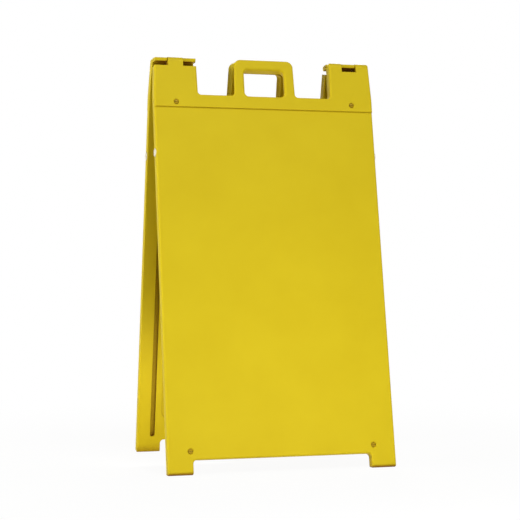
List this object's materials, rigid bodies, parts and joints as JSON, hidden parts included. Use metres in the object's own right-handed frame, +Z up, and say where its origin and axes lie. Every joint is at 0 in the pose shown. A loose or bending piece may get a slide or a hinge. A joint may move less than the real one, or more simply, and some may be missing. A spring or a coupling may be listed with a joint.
{
  "type": "fold-up barricade sign",
  "caption": "A-frame sidewalk sign: hollow moulded panels hinged at the top by pins, with a carrying grip, recessed sign faces and feet that stand flat when it is open.",
  "frame": {"origin": "on the floor, midway between the feet of the two panels and between the panels' sides", "axes": "+Z up, X across the panels along the hinge, -Y towards the front panel"},
  "size_m": [0.6334, 0.4992, 1.1217],
  "materials": {
    "panel_plastic": "blow-moulded polyethylene, yellow all through, fine satin grain",
    "pin_steel": "drawn zinc-plated rod",
    "cap_plastic": "deep yellow nylon",
    "screw_plastic": "yellow nylon",
    "insert_brass": "turned brass",
    "plug_plastic": "natural white polyethylene"
  },
  "bodies": {
    "front": {"front_panel": "panel_plastic", "hinge_pin_right": "pin_steel", "hinge_pin_cap_right": "cap_plastic", "front_sign_screw_top_left": "screw_plastic", "front_sign_screw_top_right": "screw_plastic", "front_sign_screw_bottom_left": "screw_plastic", "front_sign_screw_bottom_right": "screw_plastic", "front_sign_insert_top_left": "insert_brass", "front_sign_insert_top_right": "insert_brass", "front_sign_insert_bottom_left": "insert_brass", "front_sign_insert_bottom_right": "insert_brass"},
    "rear": {"rear_panel": "panel_plastic", "hinge_pin_left": "pin_steel", "hinge_pin_cap_left": "cap_plastic", "rear_sign_screw_top_left": "screw_plastic", "rear_sign_screw_top_right": "screw_plastic", "rear_sign_screw_bottom_left": "screw_plastic", "rear_sign_screw_bottom_right": "screw_plastic", "rear_sign_insert_top_left": "insert_brass", "rear_sign_insert_top_right": "insert_brass", "rear_sign_insert_bottom_left": "insert_brass", "rear_sign_insert_bottom_right": "insert_brass"},
    "front_filler_plug_left": {"front_filler_plug_left": "plug_plastic"},
    "front_filler_plug_right": {"front_filler_plug_right": "plug_plastic"},
    "rear_filler_plug_left": {"rear_filler_plug_left": "plug_plastic"},
    "rear_filler_plug_right": {"rear_filler_plug_right": "plug_plastic"}
  },
  "joints": [
    {"name": "fold_hinge", "type": "hinge", "parent": "front", "child": "rear", "pos_m": [0, 0, 1.11476], "axis": [-1, 0, 0], "range_deg": [0, 22.6]},
    {"name": "front_plug_pull_left", "type": "slide", "parent": "front", "child": "front_filler_plug_left", "axis": [-1, 0, 0], "range_m": [0, 0.014]},
    {"name": "front_plug_pull_right", "type": "slide", "parent": "front", "child": "front_filler_plug_right", "axis": [1, 0, 0], "range_m": [0, 0.014]},
    {"name": "rear_plug_pull_left", "type": "slide", "parent": "rear", "child": "rear_filler_plug_left", "axis": [1, 0, 0], "range_m": [0, 0.014]},
    {"name": "rear_plug_pull_right", "type": "slide", "parent": "rear", "child": "rear_filler_plug_right", "axis": [-1, 0, 0], "range_m": [0, 0.014]}
  ]
}
